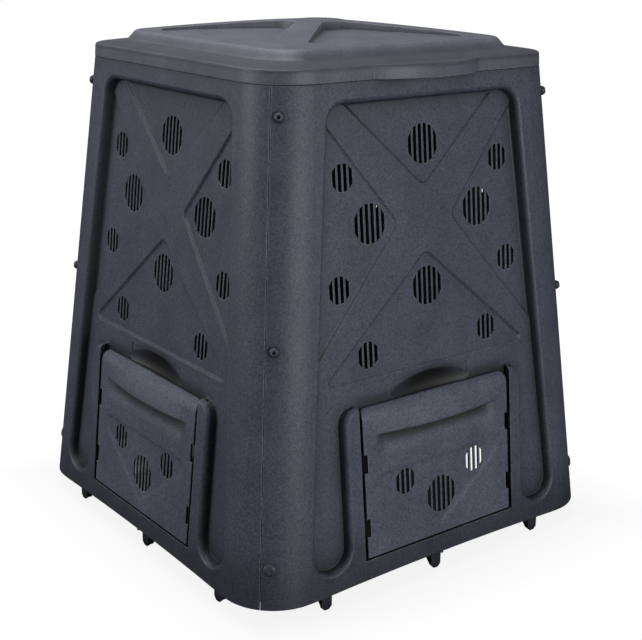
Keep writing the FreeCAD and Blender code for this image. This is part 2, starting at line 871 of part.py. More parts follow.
sides = [("front", 0), ("right", 1), ("back", 2), ("left", 3)]
panel = make_panel()
door = make_door()
pins = [
    ("low", make_pin(pin_heights[0], pin_low_head_radius, pin_low_head_length, False)),
    ("middle", make_pin(pin_heights[1], pin_head_radius, pin_head_length, True)),
    ("top", make_pin(pin_heights[2], pin_head_radius, pin_head_length, True)),
]
for side, quarter in sides:
    save("panel_" + side, turned(panel, quarter))
    save("door_" + side, turned(door, quarter))
    for place, pin in pins:
        save("corner_pin_" + side + "_" + place, turned(pin, quarter))
save("lid", make_lid())
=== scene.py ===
import logging
import math
from dataclasses import dataclass
from enum import Enum
from typing import Any, Optional

import bpy
import numpy as np
from mathutils import Matrix, Vector


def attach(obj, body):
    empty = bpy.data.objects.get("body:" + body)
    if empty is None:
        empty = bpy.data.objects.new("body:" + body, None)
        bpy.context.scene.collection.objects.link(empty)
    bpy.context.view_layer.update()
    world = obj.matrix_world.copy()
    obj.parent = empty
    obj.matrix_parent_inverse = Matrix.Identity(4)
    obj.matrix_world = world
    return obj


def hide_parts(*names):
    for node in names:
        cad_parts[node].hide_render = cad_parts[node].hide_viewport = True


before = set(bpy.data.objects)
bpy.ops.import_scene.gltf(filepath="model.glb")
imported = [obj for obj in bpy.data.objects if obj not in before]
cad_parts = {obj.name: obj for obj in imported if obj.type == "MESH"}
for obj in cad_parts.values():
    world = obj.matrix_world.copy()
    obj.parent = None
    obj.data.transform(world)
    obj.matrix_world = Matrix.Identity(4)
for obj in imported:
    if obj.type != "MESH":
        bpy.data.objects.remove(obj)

# Looks of the compost bin, in metres, +Z up. The moulded walls, corner pins and lid are the CAD nodes
# with a finish. The hatch doors are made here and stand for the CAD doors.

log = logging.getLogger("compost_bin")
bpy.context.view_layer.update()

MM = 0.001
IMAGE_WIDTH = 642

# Settings that many nodes share.
TIMES = {"operation": "MULTIPLY"}
TIMES_PLUS = {"operation": "MULTIPLY_ADD"}
LESS = {"operation": "SUBTRACT"}
UNSIGNED = {"operation": "ABSOLUTE"}
SMALLER = {"operation": "MINIMUM"}
LARGER = {"operation": "MAXIMUM"}
LENGTH = {"operation": "LENGTH"}
SOFT_STEP = {"interpolation_type": "SMOOTHSTEP"}

# Where the vents' and notches' cutters start and end, from the wall's plane, in millimetres.
CUT_BACK = -20.0
CUT_FRONT = 12.0


def linear(hex_colour: str) -> tuple[float, float, float, float]:
    """Turns an sRGB hex colour into linear light.

    Each channel c is c / 12.92 below 0.04045, and ((c + 0.055) / 1.055) ** 2.4 above it.

    Args:
        hex_colour: Six hex digits after a hash sign.

    Returns:
        Red, green, blue and a full alpha.
    """
    channels = []
    for start in (1, 3, 5):
        value = int(hex_colour[start:start + 2], 16) / 255.0
        channels.append(value / 12.92 if value <= 0.04045 else ((value + 0.055) / 1.055) ** 2.4)
    return channels[0], channels[1], channels[2], 1.0


def add_node(
    tree: bpy.types.NodeTree,
    kind: str,
    settings: Optional[dict[str, Any]] = None,
    **inputs: Any,
) -> bpy.types.Node:
    """Adds a node, sets its properties and fills or links its inputs.

    Args:
        tree: The node tree that gets the node.
        kind: The node's type name after "ShaderNode".
        settings: Properties of the node itself.
        **inputs: Input sockets by name, with spaces as underscores, or by "i" and their index.
            A value is set, and a node or an output socket is linked.

    Returns:
        The new node.
    """
    node = tree.nodes.new("ShaderNode" + kind)
    for key, value in (settings or {}).items():
        setattr(node, key, value)
    for key, value in inputs.items():
        by_index = key[0] == "i" and key[1:].isdigit()
        socket = node.inputs[int(key[1:])] if by_index else node.inputs[key.replace("_", " ")]
        if isinstance(value, bpy.types.Node):
            tree.links.new(value.outputs[0], socket)
        elif isinstance(value, bpy.types.NodeSocket):
            tree.links.new(value, socket)
        else:
            socket.default_value = value
    return node


def per_metre(size_mm: float) -> float:
    """Pattern scale that repeats about once in a size given in millimetres."""
    return 1.0 / (size_mm * MM)


def wall_coordinates(
    tree: bpy.types.NodeTree, place: bpy.types.NodeSocket,
) -> tuple[bpy.types.NodeSocket, bpy.types.Node]:
    """Finds a point's height, and its place across the wall that it lies on.

    A wall lies far out along one level axis and is centred on the other, so the place across is
    the smaller of |x| and |y|.

    Args:
        tree: The material's node tree.
        place: Object coordinates.

    Returns:
        The height's socket, and a node whose value is the distance from the wall's middle.
    """
    axes = add_node(tree, "SeparateXYZ", Vector=place)
    level = [add_node(tree, "Math", UNSIGNED, i0=axes.outputs[key]) for key in "XY"]
    return axes.outputs["Z"], add_node(tree, "Math", SMALLER, i0=level[0], i1=level[1])


@dataclass(frozen=True)
class PaintedWallShade:
    """Painted shade on a wall, in millimetres.

    It paints shade in a soft oval over the finger scoop and a shadow in a band along the hatch's top
    edge, and makes the wall darker towards the foot.
    """

    patch_height: float = 302.0
    patch_wide: float = 72.0
    patch_tall: float = 28.0
    patch_core: float = 0.3
    patch_end: float = 1.15
    patch_shade: float = 0.08
    band_height: float = 290.5
    band_fade: float = 20.0
    band_depth: float = 0.65
    band_half: float = 138.0
    band_end: float = 150.0
    foot_height: float = 30.0
    foot_end: float = 140.0
    foot_shade: float = 0.50

    def shade(self, tree: bpy.types.NodeTree, place: bpy.types.NodeSocket) -> bpy.types.Node:
        """Share of the colour that the painted shade leaves.

        It is the product of three. The oval grows softly from patch_shade to 1 with the length of
        (across / patch_wide, (height - patch_height) / patch_tall). The band is 1 less band_depth,
        which fades with the distance from band_height. The foot grows from foot_shade to 1.

        Args:
            tree: The material's node tree.
            place: Object coordinates.

        Returns:
            A node whose value multiplies the colour.
        """
        height, across = wall_coordinates(tree, place)
        wide = add_node(tree, "Math", TIMES, i0=across, i1=per_metre(self.patch_wide))
        tall = add_node(
            tree, "MapRange", {"clamp": False}, Value=height, To_Min=0.0, To_Max=1.0,
            From_Min=self.patch_height * MM, From_Max=(self.patch_height + self.patch_tall) * MM,
        )
        ring = add_node(tree, "CombineXYZ", X=wide, Y=tall)
        ring = add_node(tree, "VectorMath", LENGTH, i0=ring)
        patch = add_node(
            tree, "MapRange", SOFT_STEP, Value=ring.outputs["Value"],
            From_Min=self.patch_core, From_Max=self.patch_end, To_Min=self.patch_shade, To_Max=1.0,
        )
        off = add_node(tree, "Math", LESS, i0=height, i1=self.band_height * MM)
        off = add_node(tree, "Math", UNSIGNED, i0=off)
        band = add_node(
            tree, "MapRange", SOFT_STEP, Value=off,
            From_Min=0.0, From_Max=self.band_fade * MM, To_Min=self.band_depth, To_Max=0.0,
        )
        span = add_node(
            tree, "MapRange", Value=across,
            From_Min=self.band_half * MM, From_Max=self.band_end * MM, To_Min=1.0, To_Max=0.0,
        )
        band = add_node(tree, "Math", TIMES, i0=band, i1=span)
        band = add_node(tree, "Math", LESS, i0=1.0, i1=band)
        foot = add_node(
            tree, "MapRange", SOFT_STEP, Value=height,
            From_Min=self.foot_height * MM, From_Max=self.foot_end * MM, To_Min=self.foot_shade, To_Max=1.0,
        )
        both = add_node(tree, "Math", TIMES, i0=patch, i1=band)
        return add_node(tree, "Math", TIMES, i0=both, i1=foot)


@dataclass(frozen=True)
class PaintedLidLight:
    """Painted light on a lid by height, in millimetres: lighter on the rim, painted shade on the step,
    palest on the crown.
    """

    step_low: float = 757.0
    step_high: float = 761.0
    rim_gain: float = 1.30
    step_gain: float = 0.80
    crown_low: float = 764.0
    crown_high: float = 784.0
    crown_gain: float = 1.95

    def shade(self, tree: bpy.types.NodeTree, place: bpy.types.NodeSocket) -> bpy.types.Node:
        """Gain of the colour with height.

        It falls evenly from rim_gain to step_gain up the step, times a soft rise from 1 to
        crown_gain up the crown.

        Args:
            tree: The material's node tree.
            place: Object coordinates.

        Returns:
            A node whose value multiplies the colour.
        """
        height = add_node(tree, "SeparateXYZ", Vector=place).outputs["Z"]
        rim = add_node(
            tree, "MapRange", Value=height, To_Min=self.rim_gain, To_Max=self.step_gain,
            From_Min=self.step_low * MM, From_Max=self.step_high * MM,
        )
        crown = add_node(
            tree, "MapRange", SOFT_STEP, Value=height, To_Min=1.0, To_Max=self.crown_gain,
            From_Min=self.crown_low * MM, From_Max=self.crown_high * MM,
        )
        return add_node(tree, "Math", TIMES, i0=rim, i1=crown)


@dataclass(frozen=True)
class PaintedLipShadow:
    """Painted shadow under a hatch's pull lip, in millimetres, but lip_bend in one over metres."""

    lip_height: float = 243.4
    lip_bend: float = 0.2546
    fade_start: float = 3.0
    fade_end: float = 21.0
    depth: float = 0.97
    half: float = 90.0
    end: float = 122.0

    def shade(self, tree: bpy.types.NodeTree, place: bpy.types.NodeSocket) -> bpy.types.Node:
        """Share of the colour that the painted shadow leaves.

        The lip's lower edge lies at lip_height + lip_bend times the square of the place across. The
        painted shadow takes off depth below it, softly less from fade_start to fade_end, and evenly
        less from half to end on each side.

        Args:
            tree: The material's node tree.
            place: Object coordinates.

        Returns:
            A node whose value multiplies the colour.
        """
        height, across = wall_coordinates(tree, place)
        bend = add_node(tree, "Math", TIMES, i0=across, i1=across)
        edge = add_node(tree, "Math", TIMES_PLUS, i0=bend, i1=self.lip_bend, i2=self.lip_height * MM)
        below = add_node(tree, "Math", LESS, i0=edge, i1=height)
        under = add_node(tree, "Math", {"operation": "GREATER_THAN"}, i0=below, i1=0.0)
        painted_shadow = add_node(
            tree, "MapRange", SOFT_STEP, Value=below, To_Min=self.depth, To_Max=0.0,
            From_Min=self.fade_start * MM, From_Max=self.fade_end * MM,
        )
        span = add_node(
            tree, "MapRange", Value=across, To_Min=1.0, To_Max=0.0,
            From_Min=self.half * MM, From_Max=self.end * MM,
        )
        painted_shadow = add_node(tree, "Math", TIMES, i0=painted_shadow, i1=span)
        painted_shadow = add_node(tree, "Math", TIMES, i0=painted_shadow, i1=under)
        return add_node(tree, "Math", LESS, i0=1.0, i1=painted_shadow)


class PaintedLight(Enum):
    """Light and shade painted into a piece's colour, if any."""

    NONE = None
    # Painted shade on the walls, painted light and shade on the lid, a painted shadow under each pull lip.
    WALL_SHADE = PaintedWallShade()
    LID_LIGHT = PaintedLidLight()
    LIP_SHADOW = PaintedLipShadow()


@dataclass(frozen=True)
class MouldedPlastic:
    """Polypropylene, injection moulded in charcoal in a spark-eroded mould.

    The mould's skin gives it a matte, faintly grainy surface, the melt's flow leaves clouds and
    streaks, handling leaves edges a little chalky under a painted highlight, and painted shade
    darkens what lies close together.
    """

    name: str
    colour: str
    worn_and_highlight_colour: str
    roughness: float
    painted_light: PaintedLight
    gloss: float = 0.40
    ior: float = 1.49

    # The eroded grain is about 0.2 mm and its specks about 0.5 mm, too fine to show at about 1.4 mm
    # to a pixel, so both are drawn as coarse as they need to show.
    grain_mm: float = 1.5
    grain_height_mm: float = 0.10
    speck_mm: float = 3.0
    speck_depth: float = 0.45

    # Clouds a few fingers wide, and streaks a finger wide that run eight times as far up the wall.
    # A noise lies mostly within its spread.
    mottle_mm: float = 60.0
    streak_mm: float = 26.0
    streak_squash: float = 0.12
    mottle_share: float = 0.60
    streak_share: float = 0.40
    tone_spread: tuple[float, float] = (0.35, 0.65)
    tone_depth: float = 0.14
    noise_spread: tuple[float, float] = (0.30, 0.70)
    smoother: float = 0.04
    rougher: float = 0.05

    # Edges count as chalky, under a painted highlight, where the rounded and the true normal agree
    # less than this, up to fully.
    edge_mm: float = 2.2
    edge_agree: tuple[float, float] = (0.97, 0.72)
    wear_and_highlight: float = 0.85

    # Painted shade darkens each crease from the open share to the closed one of what a point sees
    # within crease_mm.
    crease_mm: float = 26.0
    crease_closed: float = 0.48
    crease_open: float = 0.96
    crease_shade: float = 0.12

    def tone(
        self, tree: bpy.types.NodeTree, place: bpy.types.NodeSocket, mottle: bpy.types.Node,
    ) -> bpy.types.Node:
        """Uneven colour of the moulding.

        The shares of clouds and streaks are spread over 1 -+ tone_depth, times the specks, which are
        spread over 1 -+ speck_depth.

        Args:
            tree: The material's node tree.
            place: Object coordinates.
            mottle: The clouds.

        Returns:
            A node whose value multiplies the colour.
        """
        tall = add_node(tree, "Mapping", Vector=place, Scale=(1.0, 1.0, self.streak_squash))
        streak = add_node(
            tree, "TexNoise", Vector=tall, Scale=per_metre(self.streak_mm), Detail=3.0, Roughness=0.55,
        )
        clouds = add_node(tree, "Math", TIMES, i0=mottle, i1=self.mottle_share)
        flow = add_node(tree, "Math", TIMES_PLUS, i0=streak, i1=self.streak_share, i2=clouds)
        low, high = self.tone_spread
        flow = add_node(
            tree, "MapRange", Value=flow, From_Min=low, From_Max=high,
            To_Min=1.0 - self.tone_depth, To_Max=1.0 + self.tone_depth,
        )
        specks = add_node(
            tree, "TexNoise", Vector=place, Scale=per_metre(self.speck_mm), Detail=2.0, Roughness=0.7,
        )
        low, high = self.noise_spread
        specks = add_node(
            tree, "MapRange", Value=specks, From_Min=low, From_Max=high,
            To_Min=1.0 - self.speck_depth, To_Max=1.0 + self.speck_depth,
        )
        return add_node(tree, "Math", TIMES, i0=flow, i1=specks)

    def painted_crease_shade(self, tree: bpy.types.NodeTree) -> bpy.types.Node:
        """Painted shade in each crease, from crease_shade where it closes to 1 where the surface is open.

        Args:
            tree: The material's node tree.

        Returns:
            A node whose value multiplies the colour.
        """
        near = add_node(tree, "AmbientOcclusion", {"samples": 8}, Distance=self.crease_mm * MM)
        return add_node(
            tree, "MapRange", Value=near.outputs["AO"], To_Min=self.crease_shade, To_Max=1.0,
            From_Min=self.crease_closed, From_Max=self.crease_open,
        )

    def edges_worn_and_highlit(
        self, tree: bpy.types.NodeTree, soft: bpy.types.Node, mottle: bpy.types.Node,
    ) -> bpy.types.NodeSocket:
        """Colour with its chalky edges under a painted highlight.

        The share of the lighter edge colour, rubbing and painted highlight together, grows as the dot
        product of the rounded and the true normal falls over edge_agree, times the clouds, so that it
        is patchy.

        Args:
            tree: The material's node tree.
            soft: The rounded normal.
            mottle: The clouds.

        Returns:
            The colour's socket.
        """
        true = add_node(tree, "NewGeometry").outputs["Normal"]
        agree = add_node(tree, "VectorMath", {"operation": "DOT_PRODUCT"}, i0=soft, i1=true)
        start, full = self.edge_agree
        edge = add_node(
            tree, "MapRange", Value=agree.outputs["Value"],
            From_Min=start, From_Max=full, To_Min=0.0, To_Max=self.wear_and_highlight,
        )
        patchy = add_node(tree, "Math", TIMES, i0=edge, i1=mottle)
        worn_and_highlit = add_node(
            tree, "Mix", {"data_type": "RGBA"},
            i0=patchy, i6=linear(self.colour), i7=linear(self.worn_and_highlight_colour),
        )
        return worn_and_highlit.outputs[2]

    def make(self) -> bpy.types.Material:
        """Builds the material.

        Returns:
            The material, reading Object coordinates only.
        """
        material = bpy.data.materials.new(self.name)
        material.use_nodes = True
        tree = material.node_tree
        tree.nodes.clear()
        place = add_node(tree, "TexCoord").outputs["Object"]
        mottle = add_node(
            tree, "TexNoise", Vector=place, Scale=per_metre(self.mottle_mm), Detail=5.0, Roughness=0.6,
        )
        tone = self.tone(tree, place, mottle)
        # Painted shade where the surface closes in, times the moulding's tone.
        shade = add_node(tree, "Math", TIMES, i0=self.painted_crease_shade(tree), i1=tone)
        # The piece's painted light and shade, where it has any.
        if self.painted_light.value is not None:
            mark = self.painted_light.value.shade(tree, place)
            shade = add_node(tree, "Math", TIMES, i0=shade, i1=mark)
        soft = add_node(tree, "Bevel", {"samples": 6}, Radius=self.edge_mm * MM)
        # Lighter edges: partly rubbing, partly a painted highlight.
        worn_and_highlit = self.edges_worn_and_highlit(tree, soft, mottle)
        tinted = add_node(tree, "VectorMath", {"operation": "SCALE"}, i0=worn_and_highlit, Scale=shade)
        low, high = self.noise_spread
        matte = add_node(
            tree, "MapRange", Value=mottle, From_Min=low, From_Max=high,
            To_Min=self.roughness - self.smoother, To_Max=self.roughness + self.rougher,
        )
        grain = add_node(
            tree, "TexNoise", Vector=place, Scale=per_metre(self.grain_mm), Detail=2.0, Roughness=0.6,
        )
        relief = add_node(
            tree, "Bump", Strength=1.0, Distance=self.grain_height_mm * MM, Height=grain, Normal=soft,
        )
        shader = add_node(
            tree, "BsdfPrincipled", Base_Color=tinted, Roughness=matte, Normal=relief,
            IOR=self.ior, Specular_IOR_Level=self.gloss,
        )
        add_node(tree, "OutputMaterial", Surface=shader)
        return material


@dataclass(frozen=True)
class WallPlane:
    """The leaning plane that a wall and its door lie on, in millimetres."""

    half: float = 340.5
    foot: float = 30.0
    lean: float = math.radians(5.92)

    def place(self, points: np.ndarray, quarter: int) -> np.ndarray:
        """Moves points from a wall's flat layout to its place on the bin.

        With u across, v up the slope and w outwards, a front point is
        x = u, y = -half + v sin(lean) - w cos(lean), z = foot + v cos(lean) + w sin(lean).
        Each quarter turn then takes (x, y) to (-y, x).

        Args:
            points: Rows of u, v, w in millimetres.
            quarter: 0 front, 1 right, 2 back, 3 left.

        Returns:
            Rows of x, y, z in metres.
        """
        u, v, w = points.T
        x = u
        y = -self.half + v * math.sin(self.lean) - w * math.cos(self.lean)
        z = self.foot + v * math.cos(self.lean) + w * math.sin(self.lean)
        turn = math.radians(90.0 * quarter)
        east = x * math.cos(turn) - y * math.sin(turn)
        north = x * math.sin(turn) + y * math.cos(turn)
        return np.column_stack((east, north, z)) * MM


def smooth(low: float, high: float, value: np.ndarray) -> np.ndarray:
    """Soft step from 0 to 1: t t (3 - 2 t), where t is the clipped share between low and high."""
    share = np.clip((value - low) / (high - low), 0.0, 1.0)
    return share * share * (3.0 - 2.0 * share)


def box_mesh(name: str, lows: np.ndarray, highs: np.ndarray, skews: np.ndarray) -> bpy.types.Mesh:
    """Closed boxes in one mesh, each between two corners.

    A corner takes u, v and w from lows or highs. On a box's right side v then reaches further out
    by the box's skew, up at the top and down at the bottom.

    Args:
        name: Name of the mesh.
        lows: Rows of the lowest u, v, w.
        highs: Rows of the highest u, v, w.
        skews: For each box, how much v's reach grows from its left to its right side.

    Returns:
        The mesh, in the flat layout.
    """
    pick = np.array([[i & 1, i >> 1 & 1, i >> 2 & 1] for i in range(8)], dtype=bool)
    corners = np.where(pick[None], highs[:, None, :], lows[:, None, :])
    outward = np.where(pick[:, 1], 1.0, -1.0)
    corners[:, :, 1] += outward[None] * np.where(pick[:, 0], skews[:, None], 0.0)
    sides = np.array([
        (0, 4, 6, 2), (1, 3, 7, 5), (0, 1, 5, 4), (2, 6, 7, 3), (0, 2, 3, 1), (4, 5, 7, 6),
    ])
    faces = (sides[None] + 8 * np.arange(len(lows))[:, None, None]).reshape(-1, 4)
    mesh = bpy.data.meshes.new(name)
    mesh.from_pydata(corners.reshape(-1, 3).tolist(), [], faces.tolist())
    return mesh


@dataclass(frozen=True)
class Vent:
    """A round patch of upright slots, whose ends follow a circle, in millimetres."""

    u: float
    v: float
    radius: float
    slots: int
    width: float = 6.2
    pitch: float = 9.6
    least_reach: float = 2.0

    def cutters(self) -> tuple[np.ndarray, np.ndarray, np.ndarray]:
        """Boxes that cut the slots.

        A slot's side at a distance d from the middle reaches sqrt(radius^2 - d^2) up and down.

        Returns:
            Lowest corners, highest corners and the growth of the reach from left to right.
        """
        middle = (np.arange(self.slots) - (self.slots - 1) / 2.0) * self.pitch
        left, right = middle - self.width / 2.0, middle + self.width / 2.0
        reach_left, reach_right = (
            np.sqrt(np.maximum(self.radius ** 2 - side ** 2, self.least_reach ** 2))
            for side in (left, right)
        )
        lows = np.column_stack((self.u + left, self.v - reach_left, np.full(self.slots, CUT_BACK)))
        highs = np.column_stack((self.u + right, self.v + reach_left, np.full(self.slots, CUT_FRONT)))
        return lows, highs, reach_right - reach_left


@dataclass
class HatchDoor:
    """Lift-up hatch door: one moulded plate with a soft face, on side flanges, in millimetres.

    It stands for the CAD door, in the same bay and on the same flanges. All places are across and
    up the wall's slope, and depths are behind its plane.
    """

    plane: WallPlane = WallPlane()

    # The plate, and the circle that its top rolls back on.
    half: float = 143.8
    bottom: float = 35.0
    top: float = 260.0
    corner: float = 11.0
    face_depth: float = 0.5
    thickness: float = 3.0
    edge_round: float = 1.0
    roll_start: float = 240.0
    roll_radius: float = 26.0
    roll_share: float = 0.98

    # The pull lip, whose lower edge smiles up towards its ends and steps out over lip_step.
    lip_half: float = 125.0
    lip_low: float = 214.0
    lip_smile: float = 4.0
    lip_high: float = 250.0
    lip_swell: float = 8.0
    lip_step: tuple[float, float] = (-0.4, 2.6)
    lip_fade: float = 1.2
    lip_fall: float = 1.4

    # The finger recess under the lip, at its foot only recess_least as deep.
    recess_half: float = 119.0
    recess_low: float = 183.0
    recess_corner: float = 16.0
    recess_depth: float = 5.0
    recess_least: float = 0.2
    recess_edge: float = 18.0
    recess_brink: float = 1.0
    recess_cut: float = 0.6

    # The faint shield round the vents: level on top, upright at the sides and pointed below.
    shield_half: float = 122.0
    shield_top: float = 159.0
    shield_low: float = 49.0
    shield_shoulder: float = 26.0
    shield_tuck: float = 8.0
    shield_depth: float = 1.3
    shield_edge: float = 5.0
    shield_brink: float = 2.0
    shield_round: float = 5.0

    # The flanges in the wall's grooves, and the webs that carry them.
    flange_inner: float = 138.5
    flange_outer: float = 159.4
    flange_front: float = -9.0
    flange_back: float = -11.4
    flange_bottom: float = 36.0
    flange_top: float = 246.0
    web_inset: float = 1.5
    web_sunk: float = 1.0

    # The notches in the sides, and the vents.
    notch_inner: float = 137.5
    notch_over: float = 4.0
    notch_height: float = 28.0
    notch_centres: tuple[float, float] = (81.5, 179.0)
    vents: tuple[Vent, ...] = (
        Vent(2.2, 97.1, 29.0, 6), Vent(-67.9, 134.8, 20.0, 4), Vent(72.3, 134.8, 20.0, 4),
    )

    # The grid's lines: an even pitch, closer ones at the plate's edges and at the lip's lower edge.
    # Between lip_calm and lip_settle over that edge they straighten again.
    grid_pitch: float = 2.2
    grid_start: float = 3.5
    edge_lines: tuple[float, ...] = (0.0, 0.15, 0.5, 1.0, 1.8)
    lip_lines: tuple[float, ...] = (-2.0, -1.0, -0.5, 0.0, 0.5, 1.0, 1.6, 2.2, 3.0, 4.5)
    lip_gap: float = 3.0
    lip_resume: float = 6.5
    bend_below: float = 6.0
    bend_above: float = 8.0

    sharp_degrees: float = 38.0

    def smile(self, u: np.ndarray) -> np.ndarray:
        """Rise of the lip's lower edge towards its ends: smile times (u / half length) squared."""
        return self.lip_smile * (u / self.lip_half) ** 2

    def lip(self, u: np.ndarray, v: np.ndarray) -> np.ndarray:
        """Height of the pull lip over the plate.

        It is the swell times (1 - (u / half length)^2) to the power lip_fade, times a soft step over
        lip_step at its lower edge, times a quarter cosine up to its top, to the power lip_fall.

        Args:
            u: Places across.
            v: Places up the slope.

        Returns:
            Heights in millimetres.
        """
        low = self.lip_low + self.smile(u)
        share = np.clip((v - low) / (self.lip_high - low), 0.0, 1.0)
        reach = np.clip(1.0 - (u / self.lip_half) ** 2, 0.0, 1.0) ** self.lip_fade
        swell = smooth(*self.lip_step, v - low) * np.cos(share * math.pi / 2.0) ** self.lip_fall
        return self.lip_swell * reach * swell

    def recess(self, u: np.ndarray, v: np.ndarray) -> np.ndarray:
        """Depth of the finger recess.

        It is a soft step of the distance to an outline with round lower corners, cut off at the lip,
        and grows evenly from recess_least of its depth at the foot to all of it under the lip.

        Args:
            u: Places across.
            v: Places up the slope.

        Returns:
            Depths in millimetres.
        """
        low = self.lip_low + self.smile(u)
        side = np.abs(u) - self.recess_half + self.recess_corner
        under = self.recess_low + self.recess_corner - v
        outline = np.hypot(np.maximum(side, 0.0), np.maximum(under, 0.0)) - self.recess_corner
        sunk = smooth(self.recess_brink, -self.recess_edge, outline)
        sunk *= smooth(self.recess_cut, -self.recess_cut, v - low)
        ramp = np.clip((v - self.recess_low) / (low - self.recess_low), 0.0, 1.0)
        return self.recess_depth * sunk * (self.recess_least + (1.0 - self.recess_least) * ramp)

    def shield(self, u: np.ndarray, v: np.ndarray) -> np.ndarray:
        """Depth of the shield.

        It is a soft step of the distance to its outline, which is the largest of the distances to
        top, sides and the slanting foot, rounded: r times the log of the sum of exp(distance / r).

        Args:
            u: Places across.
            v: Places up the slope.

        Returns:
            Depths in millimetres.
        """
        rise = self.shield_top - self.shield_shoulder - self.shield_low
        slope = rise / (self.shield_half - self.shield_tuck)
        foot = (self.shield_low + slope * np.abs(u) - v) / math.hypot(1.0, slope)
        sides = np.stack((v - self.shield_top, np.abs(u) - self.shield_half, foot)) / self.shield_round
        # exp keeps within a float's range between -30 and 30, and past them only the sign counts.
        outline = self.shield_round * np.log(np.exp(np.clip(sides, -30.0, 30.0)).sum(axis=0))
        return self.shield_depth * smooth(self.shield_brink, -self.shield_edge, outline)

    def face(self, u: np.ndarray, v: np.ndarray, inset: np.ndarray) -> np.ndarray:
        """Height of the door's face over the wall's plane.

        It is minus the plate's depth, less the roll, radius - sqrt(radius^2 - (v - start)^2), plus
        the lip, less the recess and the shield, less the quarter circle of the rounded edge.

        Args:
            u: Places across.
            v: Places up the slope.
            inset: Distance from the plate's outline.

        Returns:
            Heights in millimetres.
        """
        over = np.clip(v - self.roll_start, 0.0, self.roll_radius * self.roll_share)
        roll = self.roll_radius - np.sqrt(self.roll_radius ** 2 - over ** 2)
        height = -self.face_depth - roll + self.lip(u, v) - self.recess(u, v) - self.shield(u, v)
        bend = np.clip(1.0 - inset / self.edge_round, 0.0, 1.0)
        return height - self.edge_round * (1.0 - np.sqrt(1.0 - bend ** 2))

    def plate(self) -> bpy.types.Mesh:
        """Closed plate over a grid, whose lines bend with the lip and crowd at edges.

        The square corners at the top are drawn in to a circle: (du, dv) times
        max(du, dv) / hypot(du, dv), measured from the corner's centre.

        Returns:
            The mesh, in the flat layout.
        """
        crowd = np.array(self.edge_lines)
        across = np.concatenate((crowd, np.arange(self.grid_start, self.half, self.grid_pitch)))
        u_lines = np.concatenate((-self.half + across, [0.0], (self.half - across)[::-1]))
        below = np.arange(self.bottom + self.grid_start, self.lip_low - self.lip_gap, self.grid_pitch)
        lip = self.lip_low + np.array(self.lip_lines)
        above = np.arange(self.lip_low + self.lip_resume, self.top - self.lip_gap, self.grid_pitch)
        v_lines = np.concatenate((self.bottom + crowd, below, lip, above, (self.top - crowd)[::-1]))
        u, q = np.meshgrid(u_lines, v_lines, indexing="ij")
        hold = smooth(self.recess_low, self.lip_low - self.bend_below, q)
        hold *= smooth(self.lip_high, self.lip_low + self.bend_above, q)
        v = q + self.smile(u) * hold
        inset = np.minimum(self.half - np.abs(u), np.minimum(v - self.bottom, self.top - v))
        du = np.maximum(np.abs(u) - self.half + self.corner, 0.0)
        dv = np.maximum(v - self.top + self.corner, 0.0)
        far = np.hypot(du, dv)
        shrink = np.where(far > 0.0, np.maximum(du, dv) / np.maximum(far, 1e-9), 1.0)
        u = u - np.sign(u) * du * (1.0 - shrink)
        v = v - dv * (1.0 - shrink)
        front = np.stack((u, v, self.face(u, v, inset)), axis=-1).reshape(-1, 3)
        back = front - np.array([0.0, 0.0, self.thickness])
        size = u.size
        index = np.arange(size).reshape(u.shape)
        quads = np.stack((index[:-1, :-1], index[1:, :-1], index[1:, 1:], index[:-1, 1:]), axis=-1)
        quads = quads.reshape(-1, 4)
        rim = np.concatenate((index[:, 0], index[-1, 1:], index[-2::-1, -1], index[0, -2:0:-1]))
        turned = np.roll(rim, -1)
        walls = np.stack((rim, rim + size, turned + size, turned), axis=-1)
        faces = np.concatenate((quads, quads[:, ::-1] + size, walls))
        mesh = bpy.data.meshes.new("hatch_plate")
        mesh.from_pydata(np.concatenate((front, back)).tolist(), [], faces.tolist())
        return mesh

    def flanges(self) -> bpy.types.Mesh:
        """Side flanges that run in the wall's grooves, each in one with a web from the plate.

        Each is an L-shaped profile of (u, w) carried straight up v. The left one is the right one
        mirrored, with its rows and faces turned round so that they still point outwards.

        Returns:
            The mesh, in the flat layout.
        """
        web, joint = self.half - self.web_inset, -self.face_depth - self.web_sunk
        profile = np.array([
            (self.flange_inner, self.flange_back), (self.flange_outer, self.flange_back),
            (self.flange_outer, self.flange_front), (web, self.flange_front),
            (web, joint), (self.flange_inner, joint),
        ])
        count = len(profile)
        low, high = (
            np.column_stack((profile[:, 0], np.full(count, v), profile[:, 1]))
            for v in (self.flange_bottom, self.flange_top)
        )
        right = np.concatenate((low, high))
        points = np.concatenate((right, right[::-1] * np.array([-1.0, 1.0, 1.0])))
        step = np.arange(count)
        sides = np.stack((step, step + count, np.roll(step, -1) + count, np.roll(step, -1)), axis=-1)
        faces = sides.tolist() + [step.tolist(), (step[::-1] + count).tolist()]
        mirrored = [[4 * count - 1 - corner for corner in reversed(face)] for face in faces]
        mesh = bpy.data.meshes.new("hatch_flanges")
        mesh.from_pydata(points.tolist(), [], faces + mirrored)
        return mesh

    def cutters(self) -> bpy.types.Mesh:
        """Boxes that cut the vents' slots and the notches in the door's sides.

        Returns:
            The mesh, in the flat layout.
        """
        parts = [vent.cutters() for vent in self.vents]
        for side in (-1.0, 1.0):
            ends = sorted((side * self.notch_inner, side * (self.flange_outer + self.notch_over)))
            for centre in self.notch_centres:
                low = (ends[0], centre - self.notch_height / 2.0, CUT_BACK)
                high = (ends[1], centre + self.notch_height / 2.0, CUT_FRONT)
                parts.append((np.array([low]), np.array([high]), np.zeros(1)))
        lows, highs, skews = (np.concatenate(column) for column in zip(*parts))
        return box_mesh("hatch_cutters", lows, highs, skews)

